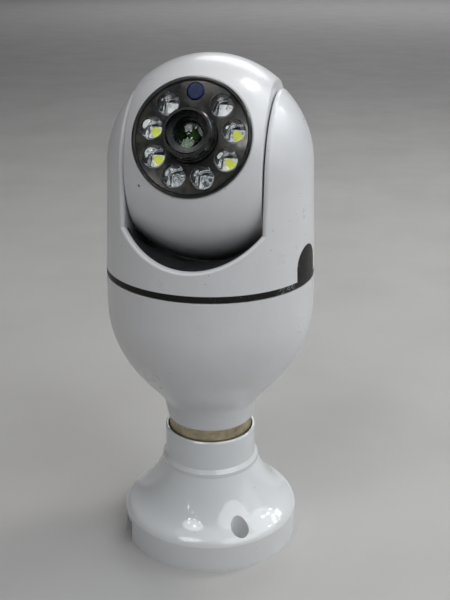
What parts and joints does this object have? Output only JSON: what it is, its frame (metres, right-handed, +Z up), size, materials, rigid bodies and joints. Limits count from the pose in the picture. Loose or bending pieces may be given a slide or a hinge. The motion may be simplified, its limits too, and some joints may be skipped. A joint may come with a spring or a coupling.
{
  "type": "pan and tilt camera light bulb in a lampholder",
  "caption": "Bulb-shaped pan and tilt camera with lamp LEDs and an Edison screw cap, standing in a round white surface lampholder.",
  "frame": {"origin": "centre of the lampholder's underside, on the surface that it is screwed to", "axes": "+Z up through the bulb, -Y the way the head faces, +X to the right of someone who looks at its face"},
  "size_m": [0.067, 0.067, 0.1637],
  "materials": {
    "holder_white": "glossy moulded plastic",
    "core_white": "moulded insulating plastic",
    "cap_brass": "dull rolled brass",
    "contact_brass": "bare brass",
    "screw_steel": "zinc plated",
    "insulator_black": "glossy insulating glass",
    "housing_white": "satin moulded plastic",
    "board_green": "solder resist",
    "lamp_board_white": "black solder resist",
    "coil_yellow": "taped coil",
    "capacitor_black": "shrink sleeve",
    "lead_red": "insulated wire",
    "deck_white": "moulded plastic",
    "motor_steel": "plated sheet steel",
    "gear_nylon": "acetal",
    "band_black": "satin moulded plastic",
    "tray_black": "satin moulded plastic",
    "speaker_black": "paper cone in a plastic frame",
    "antenna_film": "printed film",
    "bezel_black": "glossy moulded plastic",
    "window_smoke": "smoked and glossy",
    "led_phosphor": "phosphor gel",
    "led_infrared": "clear chip package",
    "lens_clear": "clear moulded lens",
    "sensor_blue": "tinted window",
    "lens_black": "black anodised",
    "lens_glass": "green coated glass",
    "chip_black": "moulded package",
    "card_black": "moulded card",
    "button_grey": "moulded button"
  },
  "bodies": {
    "lampholder": {"lampholder_shell": "holder_white", "holder_core": "core_white", "socket_shell": "cap_brass", "centre_contact_spring": "contact_brass", "side_contact": "contact_brass", "holder_terminals": "contact_brass", "terminal_screws": "screw_steel", "core_screws": "screw_steel"},
    "cap_button": {"cap_contact": "contact_brass"},
    "bulb_base": {"cap_shell": "cap_brass", "cap_insulator": "insulator_black", "lower_housing": "housing_white", "power_board": "board_green", "transformer": "coil_yellow", "mains_capacitors": "capacitor_black", "mains_leads": "lead_red", "base_deck": "deck_white", "deck_screws": "screw_steel", "pan_motor": "motor_steel", "pan_clip": "screw_steel"},
    "pan_drive": {"pan_pinion": "gear_nylon"},
    "pan_head": {"pan_table": "deck_white", "pan_gear": "gear_nylon", "band_ring": "band_black", "inner_tray": "tray_black", "yoke_shell": "housing_white", "yoke_screws": "screw_steel", "motor_side_cheek": "housing_white", "pivot_side_cheek": "housing_white", "pivot_bushes": "contact_brass", "tilt_motor": "motor_steel", "speaker": "speaker_black", "head_board": "board_green", "wifi_antenna": "antenna_film"},
    "tilt_drive": {"tilt_pinion": "gear_nylon"},
    "camera_ball": {"ball_front_shell": "housing_white", "ball_rear_shell": "housing_white", "face_bezel": "bezel_black", "face_window": "window_smoke", "led_board": "lamp_board_white", "white_leds": "led_phosphor", "infrared_leds": "led_infrared", "led_lenses": "lens_clear", "photosensor": "sensor_blue", "lens_collar": "lens_black", "lens_barrel": "lens_black", "lens_retainer": "lens_black", "front_glass": "lens_glass", "rear_glass": "lens_glass", "lens_holder": "lens_black", "image_sensor": "chip_black", "main_board": "board_green", "board_screws": "screw_steel", "microphone": "chip_black", "tilt_gear": "gear_nylon", "wire_hub": "gear_nylon", "card_board": "board_green", "card_socket": "motor_steel"},
    "card": {"memory_card": "card_black"},
    "reset": {"reset_button": "button_grey"}
  },
  "joints": [
    {"name": "bulb_rise", "type": "slide", "parent": "lampholder", "child": "cap_button", "axis": [0, 0, 1], "range_m": [0, 0.00907]},
    {"name": "bulb_turn", "type": "hinge", "parent": "cap_button", "child": "bulb_base", "pos_m": [0, 0, 0.044], "axis": [0, 0, 1], "range_deg": [0, 900]},
    {"name": "pan", "type": "hinge", "parent": "bulb_base", "child": "pan_head", "pos_m": [0, 0, 0.0905], "axis": [0, 0, 1], "range_deg": [-177, 177]},
    {"name": "pan_drive_spin", "type": "hinge", "parent": "bulb_base", "child": "pan_drive", "pos_m": [0, 0.0168, 0.0886], "axis": [0, 0, 1], "range_deg": [-540, 540]},
    {"name": "tilt", "type": "hinge", "parent": "pan_head", "child": "camera_ball", "pos_m": [0, 0, 0.132], "axis": [-1, 0, 0], "range_deg": [-45, 65.8]},
    {"name": "tilt_drive_spin", "type": "hinge", "parent": "pan_head", "child": "tilt_drive", "pos_m": [0.0232, 0, 0.1188], "axis": [-1, 0, 0], "range_deg": [-180, 130]},
    {"name": "card_slide", "type": "slide", "parent": "camera_ball", "child": "card", "axis": [0, 0.7218, 0.6921], "range_m": [0, 0.012]},
    {"name": "reset_press", "type": "slide", "parent": "camera_ball", "child": "reset", "axis": [0, -0.7218, -0.6921], "range_m": [0, 0.0006], "stiffness_N_per_m": 300, "springref_m": -0.0005}
  ],
  "couplings": [
    {"joint": "bulb_turn", "follows": "bulb_rise", "rad_per_m": 1731.4},
    {"joint": "pan_drive_spin", "follows": "pan", "ratio": -3},
    {"joint": "tilt_drive_spin", "follows": "tilt", "ratio": -2.6667}
  ]
}
